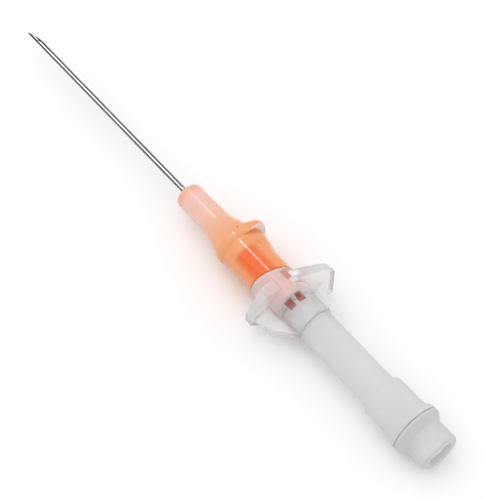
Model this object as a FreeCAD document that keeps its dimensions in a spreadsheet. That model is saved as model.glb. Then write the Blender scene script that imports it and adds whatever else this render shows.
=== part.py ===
import FreeCAD, Part
import os
import Sketcher
from FreeCAD import Placement, Rotation, Vector

# An over-the-needle intravenous cannula, lying on its side on the top guard's edge and the rims.
# Lengths are millimetres. Stations are counted from the needle's point, along +X towards the tail.
# The row's origin is the middle of the bounding box's base, so the axis stands at the rim's radius.

DIMENSIONS = {
    "needle_od": 0.80,
    "needle_bore": 0.56,
    "needle_overhang": 6.9,
    "needle_tail": 8.0,
    "bevel_angle": 9.5,
    "lancet_angle": 18.0,
    "lancet_turn": 32.0,
    "bevel_turn": 60.0,
    "tube_od": 1.14,
    "tube_bore": 0.87,
    "tube_length": 37.9,
    "tube_taper": 2.6,
    "tube_tip_od": 0.95,
    "tube_root_od": 1.30,
    "tube_root_run": 9.0,
    "tube_flare_od": 1.70,
    "tube_flare_bore": 1.40,
    "tube_flare_start": 0.5,
    "tube_flare_length": 0.6,
    "tube_seat": 1.9,
    "eyelet_bore": 1.00,
    "eyelet_lip_od": 2.00,
    "eyelet_lip": 0.35,
    "nose_front_od": 4.65,
    "nose_rear_od": 4.95,
    "nose_length": 8.4,
    "nose_round": 1.55,
    "flare_length": 4.2,
    "flare_od": 7.30,
    "collar_od": 7.75,
    "collar_width": 1.2,
    "shell_od": 7.15,
    "shell_length": 7.1,
    "socket_od": 5.50,
    "socket_run": 5.9,
    "lug_reach": 2.95,
    "lug_width": 2.0,
    "lug_length": 1.1,
    "tab_reach": 5.45,
    "tab_half_width": 3.75,
    "tab_foot": 0.9,
    "tab_fairing": 1.3,
    "tab_front": 0.8,
    "tab_rear": 1.6,
    "saddle_root_od": 8.10,
    "saddle_crest_od": 8.70,
    "saddle_crest": 2.9,
    "saddle_fall": 1.6,
    "saddle_end": 6.4,
    "funnel_bore": 2.2,
    "luer_bore": 4.30,
    "luer_depth": 11.6,
    "luer_taper": 0.06,
    "luer_clearance": 0.04,
    "luer_nose": 11.1,
    "skirt_od": 7.45,
    "skirt_bore": 6.50,
    "skirt_lap": 5.6,
    "skirt_gap": 0.3,
    "skirt_slant": 2.1,
    "window_start": 1.9,
    "window_length": 1.9,
    "window_width": 3.2,
    "wall_back": 1.3,
    "grip_od": 6.70,
    "grip_length": 4.1,
    "core_out_width": 1.4,
    "core_out_length": 1.7,
    "core_out_pitch": 2.0,
    "core_out_offset": 0.75,
    "core_out_floor": 2.40,
    "guard_half_height": 4.35,
    "guard_front": 2.0,
    "guard_thickness": 2.4,
    "guard_reach": 7.6,
    "top_guard_sweep": 3.9,
    "top_guard_edge": 1.2,
    "top_guard_root": 2.9,
    "bottom_guard_sweep": 1.3,
    "bottom_guard_edge": 1.3,
    "bottom_guard_root": 4.2,
    "bottom_guard_tip": 1.6,
    "guard_corner": 1.6,
    "guard_edge_round": 0.45,
    "web_thickness": 1.4,
    "web_shoulder": 6.9,
    "web_waist": 6.2,
    "web_waist_run": 3.2,
    "well_od": 2.4,
    "well_depth": 1.6,
    "bead_climb": 0.3,
    "bead_dip": 0.2,
    "spigot_od": 4.60,
    "spigot_length": 3.1,
    "barrel_front_od": 6.10,
    "barrel_rear_od": 5.80,
    "barrel_bore": 3.60,
    "barrel_length": 15.0,
    "sleeve_od": 7.30,
    "sleeve_step": 0.8,
    "sleeve_length": 5.4,
    "rim_od": 8.70,
    "rim_ramp": 1.3,
    "rim_land": 0.5,
    "vent_socket_depth": 7.4,
    "plug_gap": 0.1,
    "plug_nose": 6.4,
    "plug_bore": 1.8,
    "plug_ramp": 1.2,
    "head_od": 6.85,
    "head_length": 3.9,
    "head_round": 1.0,
    "filter_od": 4.40,
    "filter_depth": 2.6,
    "filter_thickness": 1.7,
    "cut_margin": 1.0,
}

doc = FreeCAD.newDocument("iv_cannula")
sheet = doc.addObject("Spreadsheet::Sheet", "Dims")
for row, (alias, value) in enumerate(DIMENSIONS.items(), start=1):
    sheet.set(f"A{row}", alias)
    sheet.set(f"B{row}", str(value))
    sheet.setAlias(f"B{row}", alias)
doc.recompute()

# Stations along the axis, each built on the one before it.
CATHETER_TIP = "Dims.needle_overhang"
NOSE = f"({CATHETER_TIP} + Dims.tube_length)"
COLLAR = f"({NOSE} + Dims.nose_length + Dims.flare_length)"
SHELL_END = f"({COLLAR} + Dims.collar_width + Dims.shell_length)"
HUB_END = f"({SHELL_END} + Dims.socket_run)"
SKIRT_FRONT = f"({HUB_END} - Dims.skirt_lap)"
BACK_WALL = f"({HUB_END} + Dims.skirt_gap)"
GRIP = f"({BACK_WALL} + Dims.wall_back)"
GRIP_END = f"({GRIP} + Dims.grip_length)"
BARREL_END = f"({GRIP_END} + Dims.barrel_length)"
SLEEVE_END = f"({BARREL_END} + Dims.sleeve_step + Dims.sleeve_length)"
RIM_FACE = f"({SLEEVE_END} + Dims.rim_ramp + Dims.rim_land)"
PLUG_FACE = f"({RIM_FACE} + Dims.plug_gap)"
HEAD = f"({PLUG_FACE} + Dims.rim_land + Dims.plug_ramp)"
TAIL = f"({HEAD} + Dims.head_length)"
AXIS_HEIGHT = "Dims.rim_od / 2"


def size(expression):
    """The present value of an expression on the dimension sheet."""
    value = sheet.evalExpression(expression)
    return float(getattr(value, "Value", value))


def new_body(label, station):
    """A body whose local X axis is the cannula's axis, with its zero at the given station."""
    body = doc.addObject("PartDesign::Body", label)
    body.Label = label
    body.setExpression("Placement.Base.x", f"{station} - {TAIL} / 2")
    body.setExpression("Placement.Base.z", AXIS_HEIGHT)
    return body


def turn_about_axis(item, angle):
    """Roll a body, or a sketch on its plane, about its own X axis by an expression."""
    roll = Rotation(Vector(1, 0, 0), size(angle))
    if item.isDerivedFrom("Sketcher::SketchObject"):
        item.AttachmentOffset = Placement(Vector(0, 0, 0), roll)
        item.setExpression("AttachmentOffset.Rotation.Angle", f"({angle}) * 1 deg")
    else:
        item.Placement = Placement(item.Placement.Base, roll)
        item.setExpression("Placement.Rotation.Angle", f"({angle}) * 1 deg")
    doc.recompute()


def origin_feature(body, role):
    """The body's own origin plane or axis with this role."""
    for feature in body.Origin.OriginFeatures:
        if feature.Role == role:
            return feature
    raise ValueError(role)


def new_sketch(body, name, role):
    """An empty sketch on one of the body's origin planes."""
    sketch = body.newObject("Sketcher::SketchObject", name)
    sketch.AttachmentSupport = [(origin_feature(body, role), "")]
    sketch.MapMode = "FlatFace"
    doc.recompute()
    return sketch


def draw_outline(sketch, corners):
    """A closed polygon whose corners are pairs of expressions, each bound to the sheet."""
    points = [Vector(size(across), size(up), 0) for across, up in corners]
    first = sketch.GeometryCount
    count = len(points)
    for index, point in enumerate(points):
        sketch.addGeometry(Part.LineSegment(point, points[(index + 1) % count]), False)
    for index in range(count):
        line = first + index
        sketch.addConstraint(Sketcher.Constraint("Coincident", line, 2, first + (index + 1) % count, 1))
    for index, (across, up) in enumerate(corners):
        line = first + index
        bind_point(sketch, line, "DistanceX", across, -2)
        bind_point(sketch, line, "DistanceY", up, -1)


def bind_point(sketch, line, kind, expression, axis):
    """Tie one coordinate of a line's start to an expression, or to the axis where it is zero."""
    value = size(expression)
    if abs(value) < 1e-9:
        sketch.addConstraint(Sketcher.Constraint("PointOnObject", line, 1, axis))
        return
    index = sketch.addConstraint(Sketcher.Constraint(kind, -1, 1, line, 1, value))
    sketch.setExpression(f"Constraints[{index}]", expression)


def draw_circle(sketch, across, up, radius):
    """A circle whose centre and radius are expressions."""
    centre = Vector(size(across), size(up), 0)
    circle = sketch.addGeometry(Part.Circle(centre, Vector(0, 0, 1), size(radius)), False)
    for kind, expression, axis in (("DistanceX", across, -2), ("DistanceY", up, -1)):
        value = size(expression)
        if abs(value) < 1e-9:
            sketch.addConstraint(Sketcher.Constraint("PointOnObject", circle, 3, axis))
            continue
        index = sketch.addConstraint(Sketcher.Constraint(kind, -1, 1, circle, 3, value))
        sketch.setExpression(f"Constraints[{index}]", expression)
    index = sketch.addConstraint(Sketcher.Constraint("Radius", circle, size(radius)))
    sketch.setExpression(f"Constraints[{index}]", radius)


def turned(body, name, corners, kind="PartDesign::Revolution"):
    """Turn a profile of (station, radius) corners about the body's X axis."""
    sketch = new_sketch(body, f"{name}_profile", "XZ_Plane")
    draw_outline(sketch, corners)
    feature = body.newObject(kind, name)
    feature.Profile = sketch
    feature.ReferenceAxis = (sketch, ["H_Axis"])
    feature.Angle = 360.0
    doc.recompute()
    return feature


def pad(body, name, sketch, length, midplane=False):
    """Pad a sketch by an expression."""
    feature = body.newObject("PartDesign::Pad", name)
    feature.Profile = sketch
    feature.Midplane = midplane
    feature.setExpression("Length", length)
    doc.recompute()
    return feature


def pocket_out(body, name, sketch, length, reverse):
    """Cut from a sketch to one side of it."""
    before = body.Shape.Volume
    cut = body.newObject("PartDesign::Pocket", name)
    cut.Profile = sketch
    cut.Reversed = reverse
    cut.setExpression("Length", length)
    doc.recompute()
    if body.Shape.Volume >= before:
        raise RuntimeError(f"{name} cut nothing")
    return cut


def slant_cut(body, name, station, behind):
    """Cut on a plane that starts at the station at the bottom and leans back towards the top (+Y).

    The hub's shoulder keeps what lies before the plane, and the skirt what lies behind it.
    """
    lean = "Dims.skirt_slant * Dims.cut_margin / Dims.skirt_od"
    low = f"({station} - {lean})"
    high = f"({station} + Dims.skirt_slant + {lean})"
    outer = f"({high} + Dims.cut_margin)" if behind else f"({low} - Dims.cut_margin)"
    reach = f"({half('skirt_od')} + Dims.cut_margin)"
    sketch = new_sketch(body, f"{name}_outline", "XY_Plane")
    draw_outline(sketch, [
        (low, f"-{reach}"),
        (high, reach),
        (outer, reach),
        (outer, f"-{reach}"),
    ])
    pocket_through(body, name, sketch)


def pocket_through(body, name, sketch):
    """Cut both ways from a sketch, right through the piece."""
    before = body.Shape.Volume
    cut = body.newObject("PartDesign::Pocket", name)
    cut.Profile = sketch
    cut.Midplane = True
    cut.setExpression("Length", "8 * Dims.guard_reach")
    doc.recompute()
    if body.Shape.Volume >= before:
        raise RuntimeError(f"{name} cut nothing")
    return cut


def circle_edges(shape, station, radius):
    """Names of the round edges at a local station with a given radius."""
    names = []
    for index, edge in enumerate(shape.Edges, start=1):
        curve = edge.Curve
        if not isinstance(curve, Part.Circle):
            continue
        near_station = abs(curve.Center.x - station) < 1e-3
        if near_station and abs(curve.Radius - radius) < 1e-3:
            names.append(f"Edge{index}")
    return names


def rounded(body, name, base, edges, radius):
    """Fillet the named edges of a feature by an expression."""
    if not edges:
        raise ValueError(f"{name} found no edge")
    fillet = body.newObject("PartDesign::Fillet", name)
    fillet.Base = (base, edges)
    fillet.setExpression("Radius", radius)
    doc.recompute()
    return fillet


def polar(body, name, feature, count):
    """Repeat a feature about the body's X axis."""
    pattern = body.newObject("PartDesign::PolarPattern", name)
    pattern.Originals = [feature]
    pattern.Axis = (origin_feature(body, "X_Axis"), [""])
    pattern.Angle = 360.0
    pattern.Occurrences = count
    body.Tip = pattern
    doc.recompute()
    return pattern


def half(name):
    """Half of a diameter on the sheet."""
    return f"Dims.{name} / 2"


# Needle: a steel tube, ground flat for the bevel and then twice more for the two lancet points.
def build_needle():
    body = new_body("needle", "0")
    length = f"({BACK_WALL} + Dims.wall_back + Dims.grip_length + Dims.needle_tail)"
    turned(body, "needle_tube", [
        ("0", half("needle_bore")),
        (length, half("needle_bore")),
        (length, half("needle_od")),
        ("0", half("needle_od")),
    ])
    grind(body, "bevel_grind", "Dims.bevel_angle")
    grind(body, "lancet_grind_left", "Dims.lancet_angle", "Dims.lancet_turn")
    grind(body, "lancet_grind_right", "Dims.lancet_angle", "-Dims.lancet_turn")
    turn_about_axis(body, "-Dims.bevel_turn")
    return body


def grind(body, name, angle, turn="0"):
    """Take a flat off the point, sloping at an angle, on a plane turned about the axis.

    The flat starts at the wall's lowest line, seen in the turned plane, so that the bevel
    and the two lancet flats run out together at the point.
    """
    slope = f"tan({angle} * 1 deg)"
    toe = f"(-{half('needle_od')} * cos(({turn}) * 1 deg))"
    heel = f"(({half('needle_od')} - {toe}) / {slope})"
    sketch = new_sketch(body, f"{name}_profile", "XZ_Plane")
    draw_outline(sketch, [
        ("-Dims.cut_margin", f"{toe} - {slope} * Dims.cut_margin"),
        (f"{heel} + Dims.cut_margin", f"{half('needle_od')} + {slope} * Dims.cut_margin"),
        ("-Dims.cut_margin", f"{half('needle_od')} + {slope} * Dims.cut_margin"),
    ])
    if turn != "0":
        turn_about_axis(sketch, turn)
    pocket_through(body, name, sketch)


# Catheter tube: thinned at the front, thickened towards the hub, and flared over the eyelet.
def build_catheter_tube():
    body = new_body("catheter_tube", CATHETER_TIP)
    flare = "(Dims.tube_length + Dims.tube_flare_start)"
    seat = f"({flare} + Dims.tube_flare_length)"
    end = f"({seat} + Dims.tube_seat)"
    turned(body, "catheter_wall", [
        ("0", half("tube_bore")),
        (flare, half("tube_bore")),
        (seat, half("tube_flare_bore")),
        (end, half("tube_flare_bore")),
        (end, half("tube_flare_od")),
        (seat, half("tube_flare_od")),
        (flare, half("tube_root_od")),
        ("Dims.tube_length", half("tube_root_od")),
        ("Dims.tube_length - Dims.tube_root_run", half("tube_od")),
        ("Dims.tube_taper", half("tube_od")),
        ("0", half("tube_tip_od")),
    ])
    return body


# Eyelet: a short metal ferrule with a lip, pushed into the tube's flare from behind.
def build_catheter_eyelet():
    body = new_body("catheter_eyelet", f"{NOSE} + Dims.tube_flare_start + Dims.tube_flare_length")
    lip_end = "(Dims.tube_seat + Dims.eyelet_lip)"
    turned(body, "ferrule", [
        ("0", half("eyelet_bore")),
        (lip_end, half("eyelet_bore")),
        (lip_end, half("eyelet_lip_od")),
        ("Dims.tube_seat", half("eyelet_lip_od")),
        ("Dims.tube_seat", half("tube_flare_bore")),
        ("0", half("tube_flare_bore")),
    ])
    return body


# Catheter hub: nose, flare, collar, slanted shell and luer socket, with the push-off tab on its top.
def build_catheter_hub():
    body = new_body("catheter_hub", NOSE)
    flare = "Dims.nose_length"
    collar = f"({flare} + Dims.flare_length)"
    collar_end = f"({collar} + Dims.collar_width)"
    shell_end = f"({collar_end} + Dims.shell_length)"
    end = f"({shell_end} + Dims.socket_run)"
    build_tab(body, collar)
    outside = turned(body, "hub_outside", [
        ("0", "0"),
        (f"{shell_end} + Dims.skirt_slant", "0"),
        (f"{shell_end} + Dims.skirt_slant", half("shell_od")),
        (collar_end, half("shell_od")),
        (collar_end, half("collar_od")),
        (collar, half("collar_od")),
        (collar, half("flare_od")),
        (flare, half("nose_rear_od")),
        ("0", half("nose_front_od")),
    ])
    front = circle_edges(outside.Shape, 0, size(half("nose_front_od")))
    rounded(body, "nose_rounding", outside, front, "Dims.nose_round")
    slant_cut(body, "shoulder_slant", shell_end, behind=True)
    turned(body, "socket_outside", [
        (collar, "0"),
        (end, "0"),
        (end, half("socket_od")),
        (collar, half("socket_od")),
    ])

    lug = new_sketch(body, "lug_outline", "XY_Plane")
    draw_outline(lug, [
        (f"{end} - Dims.lug_length", "-Dims.lug_reach"),
        (end, "-Dims.lug_reach"),
        (end, "Dims.lug_reach"),
        (f"{end} - Dims.lug_length", "Dims.lug_reach"),
    ])
    pad(body, "lugs", lug, "Dims.lug_width", midplane=True)

    seat = "(Dims.tube_flare_start + Dims.tube_flare_length)"
    tube_end = f"({seat} + Dims.tube_seat)"
    lip_end = f"({tube_end} + Dims.eyelet_lip)"
    floor = f"({end} - Dims.luer_depth)"
    floor_radius = f"({half('luer_bore')} - Dims.luer_depth * Dims.luer_taper / 2)"
    turned(body, "hub_bore", [
        ("0", "0"),
        (end, "0"),
        (end, half("luer_bore")),
        (floor, floor_radius),
        (lip_end, half("funnel_bore")),
        (tube_end, half("eyelet_lip_od")),
        (tube_end, half("tube_flare_od")),
        (seat, half("tube_flare_od")),
        ("Dims.tube_flare_start", half("tube_root_od")),
        ("0", half("tube_root_od")),
    ], "PartDesign::Groove")
    return body


def build_tab(body, collar):
    """The push-off tab, with a fairing before it and a saddle behind it.

    All three are one flange, trimmed at the sides and below to a block on the hub's top.
    """
    crest_end = f"({collar} + Dims.saddle_crest + Dims.saddle_fall)"
    turned(body, "tab_flange", [
        (f"({collar} - Dims.tab_fairing)", "0"),
        (f"({collar} + Dims.saddle_end)", "0"),
        (f"({collar} + Dims.saddle_end)", half("shell_od")),
        (crest_end, half("saddle_root_od")),
        (f"({collar} + Dims.saddle_crest)", half("saddle_crest_od")),
        (f"({collar} + Dims.tab_rear)", half("saddle_root_od")),
        (f"({collar} + Dims.tab_rear)", "Dims.tab_reach"),
        (f"({collar} + Dims.tab_front)", "Dims.tab_reach"),
        (f"({collar} - Dims.tab_fairing)", half("nose_rear_od")),
    ])
    far = "(Dims.tab_reach + Dims.cut_margin)"
    side = "Dims.tab_half_width"
    trim = new_sketch(body, "tab_trim_outline", "YZ_Plane")
    draw_outline(trim, [(f"-{far}", f"-{far}"), (far, f"-{far}"), (far, far), (f"-{far}", far)])
    draw_outline(trim, [
        ("Dims.tab_foot", f"-{side}"),
        ("Dims.tab_reach", f"-{side}"),
        ("Dims.tab_reach", side),
        ("Dims.tab_foot", side),
    ])
    pocket_through(body, "tab_trim", trim)


# Needle hub: finger guards, windowed skirt, back wall, grip and luer nose are one moulding.
# Its top, which the push-off tab shares, is the +Y side, because the cannula lies on its side.
def build_needle_hub():
    body = new_body("needle_hub", SKIRT_FRONT)
    wall = "(Dims.skirt_lap + Dims.skirt_gap)"
    grip = f"({wall} + Dims.wall_back)"
    grip_end = f"({grip} + Dims.grip_length)"
    build_guards(body, grip_end)

    turned(body, "skirt_and_grip", [
        ("0", "0"),
        (grip_end, "0"),
        (grip_end, half("grip_od")),
        (grip, half("grip_od")),
        (grip, half("skirt_od")),
        ("0", half("skirt_od")),
    ])
    turned(body, "skirt_bore", [
        ("0", "0"),
        (wall, "0"),
        (wall, half("skirt_bore")),
        ("0", half("skirt_bore")),
    ], "PartDesign::Groove")
    slant_cut(body, "skirt_slant", "0", behind=False)

    window = new_sketch(body, "window_outline", "XZ_Plane")
    draw_outline(window, [
        ("Dims.window_start", "-Dims.window_width / 2"),
        ("Dims.window_start + Dims.window_length", "-Dims.window_width / 2"),
        ("Dims.window_start + Dims.window_length", "Dims.window_width / 2"),
        ("Dims.window_start", "Dims.window_width / 2"),
    ])
    cut = pocket_out(body, "window", window, "Dims.skirt_od", reverse=True)
    polar(body, "windows", cut, 3)

    mouth = f"({half('luer_bore')} - Dims.luer_clearance)"
    tip = f"({wall} - Dims.skirt_gap - Dims.luer_nose)"
    turned(body, "luer_nose", [
        (tip, "0"),
        (wall, "0"),
        (wall, mouth),
        (f"{wall} - Dims.skirt_gap", mouth),
        (tip, f"({mouth} - Dims.luer_nose * Dims.luer_taper / 2)"),
    ])
    build_needle_hub_bores(body, tip, grip, grip_end)
    return body


def build_guards(body, grip_end):
    """A swept top guard and a pointed bottom guard, with one web behind both that runs to the grip."""
    front = "Dims.guard_front"
    back = f"({front} + Dims.guard_thickness)"
    top_front = f"({front} + Dims.top_guard_sweep)"
    top_back = f"({top_front} + Dims.top_guard_edge)"
    low_front = f"({front} + Dims.bottom_guard_sweep)"
    low_back = f"({low_front} + Dims.bottom_guard_edge)"
    reach = "Dims.guard_reach"
    side = new_sketch(body, "guard_side_view", "XY_Plane")
    draw_outline(side, [
        (front, "0"),
        (top_front, reach),
        (top_back, reach),
        (back, "0"),
        (low_back, f"-{reach}"),
        (low_front, f"-{reach}"),
    ])
    blank = pad(body, "guard_blank", side, "2 * Dims.guard_half_height", midplane=True)
    corners = top_corner_edges(blank.Shape, size(reach))
    blank = rounded(body, "guard_corner_rounding", blank, corners, "Dims.guard_corner")
    tips = tip_edges(blank.Shape, size(reach))
    rounded(body, "guard_edge_rounding", blank, tips, "Dims.guard_edge_round")

    far = f"({reach} + Dims.cut_margin)"
    high = "(Dims.guard_half_height + Dims.cut_margin)"
    for name, sign in (("upper", ""), ("lower", "-")):
        trim = new_sketch(body, f"bottom_guard_{name}_trim", "YZ_Plane")
        draw_outline(trim, [
            (f"-{reach}", f"{sign}Dims.bottom_guard_tip / 2"),
            ("-Dims.bottom_guard_root", f"{sign}Dims.guard_half_height"),
            ("-Dims.bottom_guard_root", f"{sign}{high}"),
            (f"-{far}", f"{sign}{high}"),
            (f"-{far}", f"{sign}Dims.bottom_guard_tip / 2"),
        ])
        pocket_through(body, f"bottom_guard_{name}_slope", trim)
        saddle = new_sketch(body, f"saddle_{name}_outline", "YZ_Plane")
        draw_outline(saddle, [
            ("-Dims.bottom_guard_root", f"{sign}Dims.guard_half_height"),
            ("0", f"{sign}{half('skirt_bore')}"),
            ("Dims.top_guard_root", f"{sign}Dims.guard_half_height"),
            ("Dims.top_guard_root", f"{sign}{high}"),
            ("-Dims.bottom_guard_root", f"{sign}{high}"),
        ])
        pocket_through(body, f"saddle_{name}", saddle)

    waist = f"({low_back} + Dims.web_waist_run)"
    web = new_sketch(body, "web_side_view", "XY_Plane")
    draw_outline(web, [
        (f"{top_back} - Dims.top_guard_edge / 2", "0"),
        (f"{top_back} - Dims.top_guard_edge / 2", "Dims.web_waist"),
        (grip_end, half("grip_od")),
        (grip_end, f"-{half('grip_od')}"),
        (waist, "-Dims.web_waist"),
        (f"{low_back} - Dims.bottom_guard_edge / 2", "-Dims.web_shoulder"),
        (f"{low_back} - Dims.bottom_guard_edge / 2", "0"),
    ])
    pad(body, "web", web, "Dims.web_thickness", midplane=True)


def top_corner_edges(shape, reach):
    """Names of the edges across the thickness at the top guard's two outer corners."""
    names = []
    for index, edge in enumerate(shape.Edges, start=1):
        ends = [vertex.Point for vertex in edge.Vertexes]
        level = len(ends) == 2 and abs(ends[0].z - ends[1].z) < 1e-3
        if level and all(abs(point.y - reach) < 1e-3 for point in ends):
            names.append(f"Edge{index}")
    return names


def tip_edges(shape, reach):
    """Names of the upright edges that stand at the guards' outer ends."""
    names = []
    for index, edge in enumerate(shape.Edges, start=1):
        ends = [vertex.Point for vertex in edge.Vertexes]
        upright = len(ends) == 2 and abs(ends[0].z - ends[1].z) > 1
        if upright and all(abs(abs(point.y) - reach) < 1e-3 for point in ends):
            names.append(f"Edge{index}")
    return names


def build_needle_hub_bores(body, tip, grip, grip_end):
    """The needle's channel, the adhesive well, the spigot socket and two core-outs on top."""
    spigot_floor = f"({grip_end} - Dims.spigot_length)"
    well_floor = f"({spigot_floor} - Dims.well_depth)"
    turned(body, "needle_channel", [
        (tip, "0"),
        (grip_end, "0"),
        (grip_end, half("spigot_od")),
        (spigot_floor, half("spigot_od")),
        (spigot_floor, half("well_od")),
        (well_floor, half("well_od")),
        (well_floor, half("needle_od")),
        (tip, half("needle_od")),
    ], "PartDesign::Groove")
    start = f"({grip} - Dims.core_out_length / 2)"
    end = f"({grip} + Dims.core_out_length / 2)"
    for name, sign, reverse in (("left", "", True), ("right", "-", False)):
        core_out = new_sketch(body, f"core_out_{name}_outline", "XY_Plane")
        for side in ("", "-"):
            inner = f"{side}(Dims.core_out_pitch - Dims.core_out_width) / 2 - Dims.core_out_offset"
            outer = f"{side}(Dims.core_out_pitch + Dims.core_out_width) / 2 - Dims.core_out_offset"
            draw_outline(core_out, [(start, inner), (end, inner), (end, outer), (start, outer)])
        core_out.AttachmentOffset = Placement(Vector(0, 0, size(f"{sign}Dims.core_out_floor")), Rotation())
        core_out.setExpression("AttachmentOffset.Base.z", f"{sign}Dims.core_out_floor")
        pocket_out(body, f"core_outs_{name}", core_out, "Dims.skirt_od", reverse)


# Adhesive: the bead that fills the well round the needle.
def build_needle_adhesive():
    body = new_body("needle_adhesive", f"{GRIP_END} - Dims.spigot_length - Dims.well_depth")
    turned(body, "bead", [
        ("0", half("needle_od")),
        ("Dims.well_depth + Dims.bead_climb", half("needle_od")),
        ("Dims.well_depth - Dims.bead_dip", half("well_od")),
        ("0", half("well_od")),
    ])
    return body


# Flash chamber: spigot, barrel, and a wider luer socket with a V-shaped rim.
def build_flash_chamber():
    body = new_body("flash_chamber", f"{GRIP_END} - Dims.spigot_length")
    barrel_end = "(Dims.spigot_length + Dims.barrel_length)"
    sleeve = f"({barrel_end} + Dims.sleeve_step)"
    sleeve_end = f"({sleeve} + Dims.sleeve_length)"
    land = f"({sleeve_end} + Dims.rim_ramp)"
    end = f"({land} + Dims.rim_land)"
    floor = f"({end} - Dims.vent_socket_depth)"
    turned(body, "chamber_wall", [
        ("0", half("barrel_bore")),
        (floor, half("barrel_bore")),
        (floor, f"({half('luer_bore')} - Dims.vent_socket_depth * Dims.luer_taper / 2)"),
        (end, half("luer_bore")),
        (end, half("rim_od")),
        (land, half("rim_od")),
        (sleeve_end, half("sleeve_od")),
        (sleeve, half("sleeve_od")),
        (barrel_end, half("barrel_rear_od")),
        ("Dims.spigot_length", half("barrel_front_od")),
        ("Dims.spigot_length", half("spigot_od")),
        ("0", half("spigot_od")),
    ])
    return body


# Vent plug: luer nose, flange and a round head with a counterbore for the filter.
def build_vent_plug():
    body = new_body("vent_plug", PLUG_FACE)
    head = "(Dims.rim_land + Dims.plug_ramp)"
    end = f"({head} + Dims.head_length)"
    seat = f"({end} - Dims.filter_depth)"
    nose = "-(Dims.plug_gap + Dims.plug_nose)"
    mouth = f"({half('luer_bore')} - Dims.luer_clearance)"
    wall = turned(body, "plug_wall", [
        (nose, half("plug_bore")),
        (seat, half("plug_bore")),
        (seat, half("filter_od")),
        (end, half("filter_od")),
        (end, half("head_od")),
        (head, half("head_od")),
        ("Dims.rim_land", half("rim_od")),
        ("0", half("rim_od")),
        ("0", mouth),
        ("-Dims.plug_gap", mouth),
        (nose, f"({mouth} - Dims.plug_nose * Dims.luer_taper / 2)"),
    ])
    rear = circle_edges(wall.Shape, size(end), size(half("head_od")))
    rounded(body, "head_rounding", wall, rear, "Dims.head_round")
    return body


# Vent filter: a porous disc pressed to the floor of the counterbore.
def build_vent_filter():
    body = new_body("vent_filter", f"{TAIL} - Dims.filter_depth")
    turned(body, "disc", [
        ("0", "0"),
        ("Dims.filter_thickness", "0"),
        ("Dims.filter_thickness", half("filter_od")),
        ("0", half("filter_od")),
    ])
    return body


def check_and_write(bodies):
    """Stop on any failed feature or unsound shape, then write one file for each piece."""
    doc.recompute()
    for item in doc.Objects:
        if "Invalid" in item.State or "Error" in item.State:
            raise RuntimeError(f"{item.Label} failed")
    for body in bodies:
        shape = body.Shape
        if shape.isNull() or not shape.isValid() or len(shape.Solids) != 1:
            raise RuntimeError(f"{body.Label} is not one sound solid")
    os.makedirs("parts", exist_ok=True)
    for body in bodies:
        body.Shape.exportStep(f"parts/{body.Label}.step")
        box = body.Shape.BoundBox
        print(f"{body.Label:16} {body.Shape.Volume:9.2f} mm3  x {box.XMin:7.2f} {box.XMax:7.2f}"
              f"  y {box.YMin:6.2f} {box.YMax:6.2f}  z {box.ZMin:5.2f} {box.ZMax:5.2f}")


check_and_write([
    build_needle(),
    build_needle_hub(),
    build_needle_adhesive(),
    build_flash_chamber(),
    build_catheter_tube(),
    build_catheter_eyelet(),
    build_catheter_hub(),
    build_vent_plug(),
    build_vent_filter(),
])
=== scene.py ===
"""Looks of an over-the-needle intravenous cannula, lying on its side on a white surface.

Stations are millimetres along the axis from the needle's point, as in the construction drawing.
Every moulded piece is turned or joined here from the same sizes, with softer edges than the solids have.
"""

import math

import bmesh
import bpy
from mathutils import Matrix, Vector


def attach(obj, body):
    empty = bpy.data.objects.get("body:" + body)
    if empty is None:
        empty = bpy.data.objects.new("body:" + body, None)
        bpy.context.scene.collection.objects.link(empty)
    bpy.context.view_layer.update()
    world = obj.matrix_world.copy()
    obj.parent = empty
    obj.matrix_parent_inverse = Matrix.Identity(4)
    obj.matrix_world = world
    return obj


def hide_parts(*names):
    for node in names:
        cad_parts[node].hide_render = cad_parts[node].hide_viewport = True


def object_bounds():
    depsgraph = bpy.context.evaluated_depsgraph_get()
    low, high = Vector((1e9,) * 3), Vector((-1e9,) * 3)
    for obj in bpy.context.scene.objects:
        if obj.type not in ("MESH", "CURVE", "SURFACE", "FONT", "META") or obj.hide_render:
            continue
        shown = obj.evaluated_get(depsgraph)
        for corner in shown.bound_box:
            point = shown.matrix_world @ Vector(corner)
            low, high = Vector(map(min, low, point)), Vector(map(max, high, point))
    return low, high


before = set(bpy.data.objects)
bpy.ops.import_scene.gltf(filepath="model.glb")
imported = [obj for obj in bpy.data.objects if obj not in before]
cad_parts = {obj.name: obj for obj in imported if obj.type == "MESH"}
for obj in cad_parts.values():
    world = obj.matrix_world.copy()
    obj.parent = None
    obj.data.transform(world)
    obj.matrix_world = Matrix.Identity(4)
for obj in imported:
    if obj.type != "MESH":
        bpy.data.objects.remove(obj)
cad_low, cad_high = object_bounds()

MM = 0.001
HALF_LENGTH = (cad_high[0] - cad_low[0]) / 2
AXIS_HEIGHT = (cad_high[2] - cad_low[2]) / 2
AROUND = 128
AROUND_THIN = 64
ARC_STEPS = 6

# Stations, from the point to the tail.
TUBE_TIP = 6.9
TUBE_TAPER_END = 9.5
TUBE_ROOT = 35.8
NOSE = 44.8
TUBE_FLARE = 45.3
EYELET = 45.9
TUBE_END = 47.8
EYELET_END = 48.15
FLARE = 53.2
COLLAR = 57.4
COLLAR_END = 58.6
LUER_FLOOR = 60.0
LUER_NOSE = 60.5
SHELL_END = 65.7
HUB_END = 71.6
SKIRT_FRONT = 66.0
BACK_WALL = 71.9
GRIP = 73.2
GRIP_END = 77.3
SPIGOT_FLOOR = 74.2
WELL_FLOOR = 72.6
NEEDLE_END = 85.3
BARREL_END = 92.3
SOCKET_FLOOR = 92.9
SLEEVE = 93.1
PLUG_NOSE = 93.9
SLEEVE_END = 98.5
RIM = 99.8
RIM_FACE = 100.3
PLUG_FACE = 100.4
PLUG_RIM_END = 100.9
HEAD = 102.1
FILTER_FLOOR = 103.4
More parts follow.
